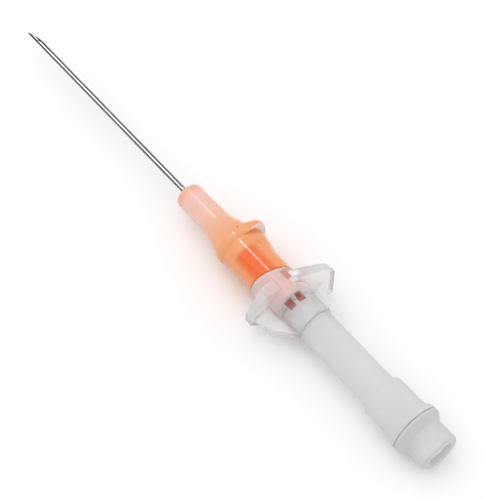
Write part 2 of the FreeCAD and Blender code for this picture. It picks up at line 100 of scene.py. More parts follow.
FILTER_FACE = 105.1
TAIL = 106.0

# Radii and reaches from the axis.
NEEDLE_RADIUS = 0.43
NEEDLE_BORE_RADIUS = 0.30
TUBE_RADIUS = 0.57
TUBE_BORE_RADIUS = 0.445
TUBE_TIP_RADIUS = 0.475
TUBE_ROOT_RADIUS = 0.65
TUBE_FLARE_RADIUS = 0.85
EYELET_RADIUS = 0.70
EYELET_BORE_RADIUS = 0.5
EYELET_LIP_RADIUS = 1.0
NOSE_RADIUS = 2.325
FLARE_RADIUS = 2.475
THROAT_RADIUS = 3.65
COLLAR_RADIUS = 3.875
SHELL_RADIUS = 3.575
TAB_REACH = 5.45
TAB_SADDLE_RADIUS = 4.35
SKIRT_RADIUS = 3.725
SKIRT_BORE_RADIUS = 3.25
SOCKET_RADIUS = 2.75
LUG_REACH = 2.95
LUER_MOUTH_RADIUS = 2.15
LUER_NOSE_RADIUS = 2.11
GUARD_REACH = 7.6
GUARD_HALF_HEIGHT = 4.35
GRIP_RADIUS = 3.35
SPIGOT_RADIUS = 2.3
WELL_RADIUS = 1.2
CHAMBER_BORE_RADIUS = 1.8
BARREL_FRONT_RADIUS = 3.05
BARREL_RADIUS = 2.9
SLEEVE_RADIUS = 3.65
RIM_RADIUS = 4.35
HEAD_RADIUS = 3.425
VENT_BORE_RADIUS = 0.9
FILTER_RADIUS = 2.2

# How much farther back the skirt's front lies on the tab's side.
SKIRT_SLANT = 2.1
# Fall of a luer taper's radius for each millimetre of its length.
LUER_TAPER = 0.03


def place(station, across=0.0, up=0.0):
    """A point in the row frame, in metres, from a station and offsets from the axis in millimetres."""
    return Vector((station * MM - HALF_LENGTH, across * MM, up * MM + AXIS_HEIGHT))


def luer(wide_radius, depth):
    """A luer taper's radius at a depth from its wide end."""
    return wide_radius - LUER_TAPER * depth


def rounded_outline(corners):
    """Points of a closed outline whose corners are (x, y, radius), with each corner turned into an arc."""
    points = []
    count = len(corners)
    for index, (x, y, radius) in enumerate(corners):
        here = Vector((x, y))
        before = Vector(corners[index - 1][:2]) - here
        after = Vector(corners[(index + 1) % count][:2]) - here
        if radius <= 0:
            points.append(here)
            continue
        opening = before.angle(after)
        reach = radius / math.tan(opening / 2)
        reach = min(reach, 0.48 * before.length, 0.48 * after.length)
        radius = reach * math.tan(opening / 2)
        start = here + before.normalized() * reach
        inwards = (before.normalized() + after.normalized()).normalized()
        centre = here + inwards * radius / math.sin(opening / 2)
        end = here + after.normalized() * reach
        sweep = (start - centre).angle_signed(end - centre)
        for step in range(ARC_STEPS + 1):
            turn = Matrix.Rotation(-sweep * step / ARC_STEPS, 2)
            points.append(centre + turn @ (start - centre))
    return points


def in_scene(name, data):
    """A new object with its data, linked to the scene."""
    item = bpy.data.objects.new(name, data)
    bpy.context.scene.collection.objects.link(item)
    return item


def new_object(name, mesh_maker):
    """A mesh object at the origin, filled in by a function that is given an empty bmesh."""
    mesh = bpy.data.meshes.new(name)
    shape = bmesh.new()
    mesh_maker(shape)
    bmesh.ops.recalc_face_normals(shape, faces=shape.faces)
    shape.to_mesh(mesh)
    shape.free()
    return in_scene(name, mesh)


def turned(name, corners, around=AROUND, centre=(0.0, 0.0)):
    """A piece turned about the axis, or about a line beside it, from (station, radius, rounding) corners."""
    outline = rounded_outline(corners)

    def fill(shape):
        rings = []
        for station, radius in outline:
            if radius < 1e-6:
                rings.append([shape.verts.new(place(station, *centre))])
                continue
            ring = []
            for step in range(around):
                angle = 2 * math.pi * step / around
                across = centre[0] + radius * math.sin(angle)
                up = centre[1] + radius * math.cos(angle)
                ring.append(shape.verts.new(place(station, across, up)))
            rings.append(ring)
        for index, ring in enumerate(rings):
            join_rings(shape, ring, rings[(index + 1) % len(rings)], around)
    return new_object(name, fill)


def join_rings(shape, ring, following, around):
    """Faces between two rings, or a fan where one of them is a single point."""
    if len(ring) == 1 and len(following) == 1:
        return
    for step in range(around):
        after = (step + 1) % around
        if len(ring) == 1:
            shape.faces.new((ring[0], following[step], following[after]))
        elif len(following) == 1:
            shape.faces.new((ring[step], following[0], ring[after]))
        else:
            shape.faces.new((ring[step], following[step], following[after], ring[after]))


def plate(name, corners, low, high, view="top", soft=0.0):
    """A flat piece cut to an outline: seen from the top, the side or the front, between two levels.

    Top and side outlines start with the station; a front outline is (across, up).
    """
    outline = rounded_outline(corners)

    def spot(first, second, level):
        if view == "top":
            return place(first, second, level)
        if view == "side":
            return place(first, level, second)
        return place(level, first, second)

    def fill(shape):
        base = [shape.verts.new(spot(x, y, low)) for x, y in outline]
        lid = [shape.verts.new(spot(x, y, high)) for x, y in outline]
        shape.faces.new(base)
        shape.faces.new(lid)
        count = len(outline)
        for index in range(count):
            after = (index + 1) % count
            shape.faces.new((base[index], base[after], lid[after], lid[index]))
    item = new_object(name, fill)
    if soft > 0:
        soften(item, soft, 40)
    return item


def soften(item, width, angle):
    """Round the edges that turn by more than an angle in degrees."""
    bevel = item.modifiers.new("soft_edges", "BEVEL")
    bevel.width = width * MM
    bevel.segments = 4
    bevel.limit_method = "ANGLE"
    bevel.angle_limit = math.radians(angle)
    settle(item)


def settle(item):
    """Make the modifiers' result the piece's own mesh."""
    evaluated = item.evaluated_get(bpy.context.evaluated_depsgraph_get())
    mesh = bpy.data.meshes.new_from_object(evaluated)
    item.modifiers.clear()
    item.data = mesh


def combine(target, tool, operation):
    """Join, cut or intersect two closed pieces, and drop the tool."""
    step = target.modifiers.new(operation.lower(), "BOOLEAN")
    step.operation = operation
    step.solver = "MANIFOLD"
    step.object = tool
    settle(target)
    bpy.data.objects.remove(tool)


def turn(item, degrees):
    """Roll a piece about the cannula's axis."""
    about = Matrix.Translation(place(0))
    item.data.transform(about @ Matrix.Rotation(math.radians(degrees), 4, "X") @ about.inverted())


def slant_cutter(name, station, behind):
    """A block whose face leans back from the station at the bottom (-Y) to the top (+Y)."""
    margin = 3.0
    depth = 8.0
    lean = SKIRT_SLANT * margin / (2 * SKIRT_RADIUS)
    low = station - lean
    high = station + SKIRT_SLANT + lean
    far = high + depth if behind else low - depth
    reach = SKIRT_RADIUS + margin
    return plate(name, [
        (low, -reach, 0),
        (high, reach, 0),
        (far, reach, 0),
        (far, -reach, 0),
    ], -reach, reach)


def add_sockets(tree, inputs, outputs):
    """Give a node group its inputs and outputs, from their names and kinds."""
    for direction, wanted in (("INPUT", inputs), ("OUTPUT", outputs)):
        for name, kind in wanted.items():
            tree.interface.new_socket(name, in_out=direction, socket_type="NodeSocket" + kind)


def calculated(tree, operation, *values):
    """The result of a Math node whose values are numbers or other nodes' outputs."""
    node = tree.nodes.new("ShaderNodeMath")
    node.operation = operation
    for socket, value in zip(node.inputs, values):
        if isinstance(value, bpy.types.NodeSocket):
            tree.links.new(value, socket)
        else:
            socket.default_value = value
    return node.outputs[0]


def repeat_tree():
    """Geometry nodes that repeat a shape round the cannula's axis."""
    tree = bpy.data.node_groups.new("repeat_round_axis", "GeometryNodeTree")
    add_sockets(
        tree,
        {"Geometry": "Geometry", "Count": "Int", "Axis Point": "Vector", "Material": "Material"},
        {"Geometry": "Geometry"},
    )
    nodes = tree.nodes
    link = tree.links.new
    entry = nodes.new("NodeGroupInput")
    points = nodes.new("GeometryNodePoints")
    index = nodes.new("GeometryNodeInputIndex")
    share = calculated(tree, "DIVIDE", index.outputs[0], entry.outputs["Count"])
    angle = calculated(tree, "MULTIPLY", share, 2 * math.pi)
    rotation = nodes.new("ShaderNodeCombineXYZ")
    centred = nodes.new("GeometryNodeTransform")
    away = nodes.new("ShaderNodeVectorMath")
    away.operation = "SCALE"
    away.inputs["Scale"].default_value = -1
    instances = nodes.new("GeometryNodeInstanceOnPoints")
    real = nodes.new("GeometryNodeRealizeInstances")
    finish = nodes.new("GeometryNodeSetMaterial")
    out = nodes.new("NodeGroupOutput")
    link(entry.outputs["Count"], points.inputs["Count"])
    link(entry.outputs["Axis Point"], points.inputs["Position"])
    link(entry.outputs["Axis Point"], away.inputs[0])
    link(away.outputs[0], centred.inputs["Translation"])
    link(entry.outputs["Geometry"], centred.inputs["Geometry"])
    link(angle, rotation.inputs["X"])
    link(points.outputs[0], instances.inputs["Points"])
    link(centred.outputs[0], instances.inputs["Instance"])
    link(rotation.outputs[0], instances.inputs["Rotation"])
    link(instances.outputs[0], real.inputs[0])
    link(real.outputs[0], finish.inputs["Geometry"])
    link(entry.outputs["Material"], finish.inputs["Material"])
    link(finish.outputs[0], out.inputs[0])
    return tree


def repeat_round_axis(item, count, material):
    """Repeat a piece round the axis with the geometry nodes, and keep the result as its mesh."""
    tree = bpy.data.node_groups.get("repeat_round_axis") or repeat_tree()
    step = item.modifiers.new("repeat", "NODES")
    step.node_group = tree
    values = {"Count": count, "Axis Point": place(0), "Material": material}
    for socket in tree.interface.items_tree:
        if socket.in_out == "INPUT" and socket.name in values:
            step[socket.identifier] = values[socket.name]
    settle(item)


# Materials

def ramped(tree, value, source, result=(0.0, 1.0), smooth=False):
    """A value with one range mapped to another, and held at both ends."""
    node = tree.nodes.new("ShaderNodeMapRange")
    if smooth:
        node.interpolation_type = "SMOOTHSTEP"
    node.inputs["From Min"].default_value = source[0]
    node.inputs["From Max"].default_value = source[1]
    node.inputs["To Min"].default_value = result[0]
    node.inputs["To Max"].default_value = result[1]
    tree.links.new(value, node.inputs["Value"])
    return node.outputs[0]


def band(tree, value, rise, fall=None):
    """A mask that rises from 0 to 1 over one range of a value, and falls back over another if it is given."""
    up = ramped(tree, value, rise, smooth=True)
    if fall is None:
        return up
    down = ramped(tree, value, fall, (1.0, 0.0), smooth=True)
    return calculated(tree, "MULTIPLY", up, down)


def tinted(tree, under, mask, colour):
    """A colour laid over another, or over a node's colour output, where a mask says so."""
    node = tree.nodes.new("ShaderNodeMix")
    node.data_type = "RGBA"
    node.inputs["B"].default_value = (*colour, 1)
    tree.links.new(mask, node.inputs["Factor"])
    if isinstance(under, bpy.types.NodeSocket):
        tree.links.new(under, node.inputs["A"])
    else:
        node.inputs["A"].default_value = (*under, 1)
    return node.outputs["Result"]


def raised(tree, height, strength, distance):
    """A normal bent by a height; the distance is in millimetres."""
    node = tree.nodes.new("ShaderNodeBump")
    node.inputs["Strength"].default_value = strength
    node.inputs["Distance"].default_value = distance * MM
    tree.links.new(height, node.inputs["Height"])
    return node.outputs[0]


def moulded_group():
    """Shared effect of injection moulding: broad flow shading, fine mottle and a faint uneven height."""
    group = bpy.data.node_groups.new("moulded_surface", "ShaderNodeTree")
    add_sockets(
        group,
        {"Colour": "Color", "Flow Colour": "Color", "Flow Amount": "Float",
         "Roughness Low": "Float", "Roughness High": "Float"},
        {"Colour": "Color", "Roughness": "Float", "Height": "Float"},
    )
    nodes = group.nodes
    link = group.links.new
    entry = nodes.new("NodeGroupInput")
    out = nodes.new("NodeGroupOutput")
    where = nodes.new("ShaderNodeTexCoord")
    stretch = nodes.new("ShaderNodeMapping")
    stretch.inputs["Scale"].default_value = (120, 420, 420)
    flow = nodes.new("ShaderNodeTexNoise")
    flow.inputs["Scale"].default_value = 1.0
    flow.inputs["Detail"].default_value = 2.0
    mix = nodes.new("ShaderNodeMix")
    mix.data_type = "RGBA"
    mottle = nodes.new("ShaderNodeTexNoise")
    mottle.inputs["Scale"].default_value = 2600.0
    mottle.inputs["Detail"].default_value = 3.0
    spread = nodes.new("ShaderNodeMapRange")
    link(where.outputs["Object"], stretch.inputs["Vector"])
    link(stretch.outputs[0], flow.inputs["Vector"])
    link(where.outputs["Object"], mottle.inputs["Vector"])
    amount = calculated(group, "MULTIPLY", flow.outputs["Fac"], entry.outputs["Flow Amount"])
    link(amount, mix.inputs["Factor"])
    link(entry.outputs["Colour"], mix.inputs["A"])
    link(entry.outputs["Flow Colour"], mix.inputs["B"])
    link(mix.outputs["Result"], out.inputs["Colour"])
    link(flow.outputs["Fac"], spread.inputs["Value"])
    link(entry.outputs["Roughness Low"], spread.inputs["To Min"])
    link(entry.outputs["Roughness High"], spread.inputs["To Max"])
    link(spread.outputs[0], out.inputs["Roughness"])
    link(mottle.outputs["Fac"], out.inputs["Height"])
    return group


def new_material(name):
    """A material with node access to its shader."""
    material = bpy.data.materials.new(name)
    material.use_nodes = True
    shader = material.node_tree.nodes["Principled BSDF"]
    return material, material.node_tree, shader


def moulded(name, colour, flow_colour, flow, roughness, transmission, ior, bump):
    """A moulded plastic with roughness as (low, high); its colour is None where the caller links one."""
    material, tree, shader = new_material(name)
    effect = tree.nodes.new("ShaderNodeGroup")
    effect.node_tree = bpy.data.node_groups.get("moulded_surface") or moulded_group()
    if colour is not None:
        effect.inputs["Colour"].default_value = (*colour, 1)
    effect.inputs["Flow Colour"].default_value = (*flow_colour, 1)
    effect.inputs["Flow Amount"].default_value = flow
    effect.inputs["Roughness Low"].default_value = roughness[0]
    effect.inputs["Roughness High"].default_value = roughness[1]
    normal = raised(tree, effect.outputs["Height"], bump, 0.02)
    tree.links.new(effect.outputs["Colour"], shader.inputs["Base Color"])
    tree.links.new(effect.outputs["Roughness"], shader.inputs["Roughness"])
    tree.links.new(normal, shader.inputs["Normal"])
    shader.inputs["Transmission Weight"].default_value = transmission
    shader.inputs["IOR"].default_value = ior
    return material, tree, effect


def axis_group():
    """Shared measure in millimetres: the station, the offset across and the distance from the axis."""
    group = bpy.data.node_groups.new("axis_position", "ShaderNodeTree")
    add_sockets(group, {}, {"Station": "Float", "Across": "Float", "Radius": "Float"})
    nodes = group.nodes
    link = group.links.new
    out = nodes.new("NodeGroupOutput")
    where = nodes.new("ShaderNodeTexCoord")
    centred = nodes.new("ShaderNodeVectorMath")
    centred.operation = "SUBTRACT"
    centred.inputs[1].default_value = place(0)
    scaled = nodes.new("ShaderNodeVectorMath")
    scaled.operation = "SCALE"
    scaled.inputs["Scale"].default_value = 1 / MM
    split = nodes.new("ShaderNodeSeparateXYZ")
    crosswise = nodes.new("ShaderNodeVectorMath")
    crosswise.operation = "MULTIPLY"
    crosswise.inputs[1].default_value = (0, 1, 1)
    length = nodes.new("ShaderNodeVectorMath")
    length.operation = "LENGTH"
    link(where.outputs["Object"], centred.inputs[0])
    link(centred.outputs[0], scaled.inputs[0])
    link(scaled.outputs[0], split.inputs[0])
    link(scaled.outputs[0], crosswise.inputs[0])
    link(crosswise.outputs[0], length.inputs[0])
    link(split.outputs["X"], out.inputs["Station"])
    link(split.outputs["Y"], out.inputs["Across"])
    link(length.outputs["Value"], out.inputs["Radius"])
    return group


def axis_measure(tree):
    """The outputs of the shared measure: Station, Across and Radius."""
    measure = tree.nodes.new("ShaderNodeGroup")
    measure.node_tree = bpy.data.node_groups.get("axis_position") or axis_group()
    return measure.outputs


def station_ramp(tree, station, stops):
    """A colour that changes along the cannula, from (station, colour) stops."""
    first = stops[0][0]
    last = stops[-1][0]
    ramp = tree.nodes.new("ShaderNodeValToRGB")
    elements = ramp.color_ramp.elements
    elements[0].color = (*stops[0][1], 1)
    elements[1].color = (*stops[-1][1], 1)
    for stop, colour in stops[1:-1]:
        element = elements.new((stop - first) / (last - first))
        element.color = (*colour, 1)
    tree.links.new(ramped(tree, station, (first, last)), ramp.inputs["Fac"])
    return ramp.outputs["Color"]


def hub_orange():
    """Translucent orange: pale at the thick nose and the tab, deepest over the luer bore."""
    nose_roughness = (0.16, 0.26)
    shell_roughness = (0.07, 0.12)
    material, tree, effect = moulded(
        "hub_orange", None, (1.0, 0.66, 0.48), 0.12, shell_roughness, 0.22, 1.45, 0.03)
    measure = axis_measure(tree)
    station = measure["Station"]
    colour = station_ramp(tree, station, [
        (NOSE, (1.0, 0.60, 0.42)),
        (NOSE + 0.9, (1.0, 0.50, 0.32)),
        (NOSE + 2.4, (0.98, 0.64, 0.55)),
        (FLARE - 2.0, (1.0, 0.62, 0.50)),
        (COLLAR - 2.0, (1.0, 0.50, 0.28)),
        (COLLAR_END, (1.0, 0.42, 0.17)),
        (SHELL_END + SKIRT_SLANT, (1.0, 0.38, 0.13)),
    ])
    # Painted shade for the light through the hollow shell: deeper orange over the bore where it is seen
    # straight on, and paler along its edges.
    facing = tree.nodes.new("ShaderNodeLayerWeight").outputs["Facing"]
    straight_on = band(tree, facing, (-1.0, -0.9), (0.10, 0.36))
    over_bore = band(tree, station, (COLLAR_END + 1.9, COLLAR_END + 2.9))
    colour = tinted(tree, colour, calculated(tree, "MULTIPLY", over_bore, straight_on), (1.0, 0.14, 0.0))
    behind = band(tree, station, (COLLAR + 1.35, COLLAR + 1.55))
    outside = band(tree, measure["Radius"], (4.2, 4.6))
    tab_rear = calculated(tree, "MULTIPLY", behind, outside)
    colour = tinted(tree, colour, tab_rear, (1.0, 0.92, 0.86))
    tree.links.new(colour, effect.inputs["Colour"])
    sockets = ("Roughness Low", "Roughness High")
    for socket, front, rear in zip(sockets, nose_roughness, shell_roughness):
        roughness = ramped(tree, station, (FLARE, COLLAR), (front, rear))
        tree.links.new(roughness, effect.inputs[socket])
    return material


def ring_zone(tree, station, radius, rise, fall, inner, outer):
    """A mask of a ring round the axis, between two stations and two radii."""
    along = band(tree, station, rise, fall)
    return calculated(tree, "MULTIPLY", along, band(tree, radius, inner, outer))


def hub_clear():
    """Frosted clear moulding, faintly pink where it laps the orange hub, with a painted highlight on the
    front rim.
    """
    material, tree, effect = moulded(
        "needle_hub_clear", None, (1.0, 0.98, 0.98), 0.2, (0.12, 0.20), 0.66, 1.16, 0.04)
    measure = axis_measure(tree)
    station = measure["Station"]
    radius = measure["Radius"]
    colour = station_ramp(tree, station, [
        (SKIRT_FRONT, (1.0, 0.93, 0.92)),
        (BACK_WALL, (0.98, 0.93, 0.92)),
        (GRIP, (0.95, 0.95, 0.95)),
        (GRIP_END, (0.93, 0.93, 0.93)),
    ])
    colour = tinted(tree, colour, band(tree, radius, (3.75, 4.2)), (1.0, 1.0, 1.0))
    window_floor = ring_zone(
        tree, station, radius,
        (SKIRT_FRONT + 1.2, SKIRT_FRONT + 1.4), (70.4, 70.6), (3.3, 3.35), (3.6, 3.66))
    colour = tinted(tree, colour, window_floor, (0.95, 0.52, 0.47))
    core_out_floor = ring_zone(
        tree, station, radius,
        (72.1, 72.2), (74.15, 74.3), (2.3, 2.35), (3.15, 3.25))
    colour = tinted(tree, colour, core_out_floor, (0.80, 0.30, 0.26))
    # Painted highlight: the rim is painted white along the skirt's slanted front.
    slant = -SKIRT_SLANT / (2 * SKIRT_RADIUS)
    upright = calculated(tree, "MULTIPLY_ADD", measure["Across"], slant, station)
    front = SKIRT_FRONT + SKIRT_SLANT / 2
    rim = ring_zone(
        tree, upright, radius,
        (front - 1, front - 0.9), (front + 0.35, front + 0.6), (3.2, 3.25), (3.8, 3.9))
    colour = tinted(tree, colour, rim, (1.0, 1.0, 1.0))
    tree.links.new(colour, effect.inputs["Colour"])
    return material


def painted_dark_edges(tree):
    """Painted dark reflection on a thin polished tube: a mask that is 0 along its bright middle and 1 at both
    edges, from any side.

    How far the surface faces the viewer is set against the most that the tube has from there, because a tube
    seen at a slant never faces the viewer squarely.
    """
    facing = tree.nodes.new("ShaderNodeLayerWeight")
    along = tree.nodes.new("ShaderNodeLayerWeight")
    axis = tree.nodes.new("ShaderNodeCombineXYZ")
    axis.inputs["X"].default_value = 1
    tree.links.new(axis.outputs[0], along.inputs["Normal"])
    towards = calculated(tree, "SUBTRACT", 1, facing.outputs["Facing"])
    lengthwise = calculated(tree, "SUBTRACT", 1, along.outputs["Facing"])
    crosswise = calculated(tree, "SUBTRACT", 1, calculated(tree, "POWER", lengthwise, 2))
    most = calculated(tree, "SQRT", calculated(tree, "MAXIMUM", crosswise, 0.2))
    return ramped(tree, calculated(tree, "DIVIDE", towards, most), (0.98, 0.93))


def drawn_steel():
    """Bright drawn tube: fine lines along the axis in the colour, the roughness and the height, with a
    painted dark reflection along both edges.
    """
    material, tree, shader = new_material("drawn_steel")
    link = tree.links.new
    where = tree.nodes.new("ShaderNodeTexCoord")
    stretch = tree.nodes.new("ShaderNodeMapping")
    stretch.inputs["Scale"].default_value = (300, 9000, 9000)
    noise = tree.nodes.new("ShaderNodeTexNoise")
    noise.inputs["Scale"].default_value = 1.0
    noise.inputs["Detail"].default_value = 4.0
    link(where.outputs["Object"], stretch.inputs["Vector"])
    link(stretch.outputs[0], noise.inputs["Vector"])
    lines = noise.outputs["Fac"]
    steel = tinted(tree, (0.80, 0.79, 0.78), lines, (0.95, 0.94, 0.93))
    # Painted dark reflection: both edges of the tube are painted near black.
    link(tinted(tree, steel, painted_dark_edges(tree), (0.012, 0.012, 0.012)), shader.inputs["Base Color"])
    link(ramped(tree, lines, (0.0, 1.0), (0.05, 0.12)), shader.inputs["Roughness"])
    link(raised(tree, lines, 0.02, 0.002), shader.inputs["Normal"])
    shader.inputs["Metallic"].default_value = 1.0
    return material


def porous_filter():
    """Matte white disc with fine open pores, their middles painted grey as shade."""
    material, tree, shader = new_material("porous_filter")
    link = tree.links.new
    where = tree.nodes.new("ShaderNodeTexCoord")
    pores = tree.nodes.new("ShaderNodeTexVoronoi")
    pores.inputs["Scale"].default_value = 5200.0
    link(where.outputs["Object"], pores.inputs["Vector"])
    between = ramped(tree, pores.outputs["Distance"], (0.0, 0.35))
    # Painted shade: each pore's middle is painted grey.
    link(tinted(tree, (0.80, 0.80, 0.80), between, (0.96, 0.96, 0.95)), shader.inputs["Base Color"])
    link(raised(tree, between, 0.6, 0.05), shader.inputs["Normal"])
    shader.inputs["Roughness"].default_value = 0.85
    return material


CLEAR = moulded("clear_plastic", (0.89, 0.895, 0.895), (0.85, 0.855, 0.855), 0.3,
                (0.34, 0.46), 0.45, 1.25, 0.05)[0]
MILKY = moulded("milky_plastic", (0.77, 0.775, 0.775), (0.73, 0.735, 0.735), 0.3,
                (0.38, 0.50), 0.30, 1.30, 0.08)[0]
TUBE = moulded("catheter_polymer", (0.96, 0.96, 0.95), (0.93, 0.93, 0.92), 0.2,
               (0.02, 0.05), 1.0, 1.34, 0.0)[0]
GLUE = moulded("cured_adhesive", (0.86, 0.85, 0.80), (0.80, 0.79, 0.72), 0.6,
               (0.08, 0.20), 0.85, 1.50, 0.30)[0]
HUB_CLEAR = hub_clear()
ORANGE = hub_orange()
STEEL = drawn_steel()
FILTER = porous_filter()


def dress(item, body, node, material, sharp=32):
    """Give a finished piece its material, shading and body, and hide the CAD node that it stands for.

    Edges that turn by more than sharp, in degrees, stay crisp. A low value keeps flat faces flat after joins.
    """
    item.data.materials.clear()
    item.data.materials.append(material)
    for face in item.data.polygons:
        face.material_index = 0
    item.data.shade_smooth()
    item.data.set_sharp_from_angle(angle=math.radians(sharp))
    even = item.modifiers.new("even_shading", "WEIGHTED_NORMAL")
    even.keep_sharp = True
    even.weight = 100
    settle(item)
    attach(item, body)
    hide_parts(node)
    return item


# Needle

def make_needle():
    """Steel tube, ground for a bevel and two lancet flats that meet at the point."""
    needle = turned("steel_needle", [
        (0, NEEDLE_BORE_RADIUS, 0),
        (NEEDLE_END, NEEDLE_BORE_RADIUS, 0.03),
        (NEEDLE_END, NEEDLE_RADIUS, 0.03),
        (0, NEEDLE_RADIUS, 0),
    ], around=AROUND_THIN)
    bevel_turn = 28
    # Each grind has an angle to the axis and a turn from the bevel.
    grinds = ((11.5, 0), (20, 32), (20, -32))
    for angle, lancet_turn in grinds:
        slope = math.tan(math.radians(angle))
        toe = -NEEDLE_RADIUS * math.cos(math.radians(lancet_turn))
        heel = (NEEDLE_RADIUS - toe) / slope
        flat = plate("grind", [
            (-1, toe - slope, 0),
            (heel + 1, NEEDLE_RADIUS + slope, 0),
            (-1, NEEDLE_RADIUS + slope, 0),
        ], -1, 1, view="side")
        turn(flat, lancet_turn - bevel_turn)
        combine(needle, flat, "DIFFERENCE")
    return dress(needle, "needle_set", "needle", STEEL)


def make_tube():
    """Clear tube: thinned tip, thicker root, and a flare inside the hub's nose."""
    tube = turned("catheter_tube_clear", [
        (TUBE_TIP, TUBE_BORE_RADIUS, 0),
        (TUBE_FLARE, TUBE_BORE_RADIUS, 0.3),
        (EYELET, EYELET_RADIUS, 0.3),
        (TUBE_END, EYELET_RADIUS, 0),
        (TUBE_END, TUBE_FLARE_RADIUS, 0),
        (EYELET, TUBE_FLARE_RADIUS, 0.3),
        (TUBE_FLARE, TUBE_ROOT_RADIUS, 0.3),
        (NOSE, TUBE_ROOT_RADIUS, 0),
        (TUBE_ROOT, TUBE_RADIUS, 3.0),
        (TUBE_TAPER_END, TUBE_RADIUS, 3.0),
        (TUBE_TIP, TUBE_TIP_RADIUS, 0.03),
    ], around=AROUND_THIN)
    return dress(tube, "catheter", "catheter_tube", TUBE)


def make_eyelet():
    """Metal ferrule that holds the tube's flare in the hub."""
    ferrule = turned("eyelet_ferrule", [
        (EYELET, EYELET_BORE_RADIUS, 0.08),
        (EYELET_END, EYELET_BORE_RADIUS, 0.08),
        (EYELET_END, EYELET_LIP_RADIUS, 0.1),
        (TUBE_END, EYELET_LIP_RADIUS, 0.1),
        (TUBE_END, EYELET_RADIUS, 0),
        (EYELET, EYELET_RADIUS, 0.08),
    ], around=AROUND_THIN)
    return dress(ferrule, "catheter", "catheter_eyelet", STEEL)


def make_hub():
    """Orange hub: nose, flare, collar with push-off tab, slanted shell and luer socket with lugs."""
    uncut_end = SHELL_END + SKIRT_SLANT + 1
    shell = turned("orange_hub", [
        (NOSE, 0, 0),
        (uncut_end, 0, 0),
        (uncut_end, SHELL_RADIUS, 0),
        (COLLAR_END + 0.45, SHELL_RADIUS, 0.5),
        (COLLAR_END - 0.15, COLLAR_RADIUS, 0.5),
        (COLLAR, COLLAR_RADIUS, 0.25),
        (COLLAR, THROAT_RADIUS, 0.2),
        (FLARE, FLARE_RADIUS, 3.0),
        (NOSE, NOSE_RADIUS, 1.55),
    ])
    combine(shell, slant_cutter("shoulder", SHELL_END, behind=True), "DIFFERENCE")
    combine(shell, make_tab(), "UNION")
    socket = turned("luer_socket", [
        (COLLAR_END, 0, 0),
        (HUB_END, 0, 0),
        (HUB_END, SOCKET_RADIUS, 0.2),
        (COLLAR_END, SOCKET_RADIUS, 0),
    ])
    combine(shell, socket, "UNION")
    lug_front = HUB_END - 1.1
    lug_back = HUB_END - 0.02
    lug = plate("lug", [
        (lug_front, 0, 0),
        (lug_back, 0, 0),
        (lug_back, LUG_REACH, 0.25),
        (lug_front, LUG_REACH, 0.25),
    ], -1.0, 1.0)
    repeat_round_axis(lug, 2, ORANGE)
    combine(shell, lug, "UNION")
    bore = turned("hub_bore", [
        (NOSE - 1, 0, 0),
        (HUB_END + 1, 0, 0),
        (HUB_END + 1, luer(LUER_MOUTH_RADIUS, -1), 0),
        (LUER_FLOOR, luer(LUER_MOUTH_RADIUS, HUB_END - LUER_FLOOR), 0.4),
        (EYELET_END, 1.1, 0),
        (TUBE_END, EYELET_LIP_RADIUS, 0),
        (TUBE_END, TUBE_FLARE_RADIUS, 0),
        (EYELET, TUBE_FLARE_RADIUS, 0.3),
        (TUBE_FLARE, TUBE_ROOT_RADIUS, 0.3),
        (NOSE - 1, TUBE_ROOT_RADIUS, 0),
    ])
    combine(shell, bore, "DIFFERENCE")
    return dress(shell, "catheter", "catheter_hub", ORANGE)


def make_tab():
    """Push-off tab with its fairing, cut to a soft-edged block, and the saddle that fades out behind it."""
    fairing = COLLAR - 1.3
    rear = COLLAR + 1.6
    flange = turned("push_off_tab", [
        (fairing, 0, 0),
        (rear, 0, 0),
        (rear, TAB_REACH, 0.38),
        (COLLAR + 0.8, TAB_REACH, 0.38),
        (fairing, FLARE_RADIUS, 0),
    ])
    root = 0.9
    half_width = 3.75
    block = plate("tab_block", [
        (root, -half_width, 0),
        (TAB_REACH + 1, -half_width, 0),
        (TAB_REACH + 1, half_width, 0),
        (root, half_width, 0),
    ], COLLAR - 2, COLLAR + 7, view="front")
    combine(flange, block, "INTERSECT")
    soften(flange, 0.30, 50)
    off_axis = 0.8
    crest = TAB_SADDLE_RADIUS - off_axis
    saddle = turned("tab_saddle", [
        (COLLAR, 0, 0),
        (COLLAR + 6.4, 0, 0),
        (COLLAR + 6.4, crest - 0.85, 0),
        (COLLAR + 4.5, crest - 0.3, 1.5),
        (COLLAR + 2.9, crest, 1.2),
        (COLLAR + 1.4, crest - 0.3, 0.6),
        (COLLAR, crest - 0.5, 0),
    ], centre=(off_axis, 0))
    combine(flange, saddle, "UNION")
    return flange


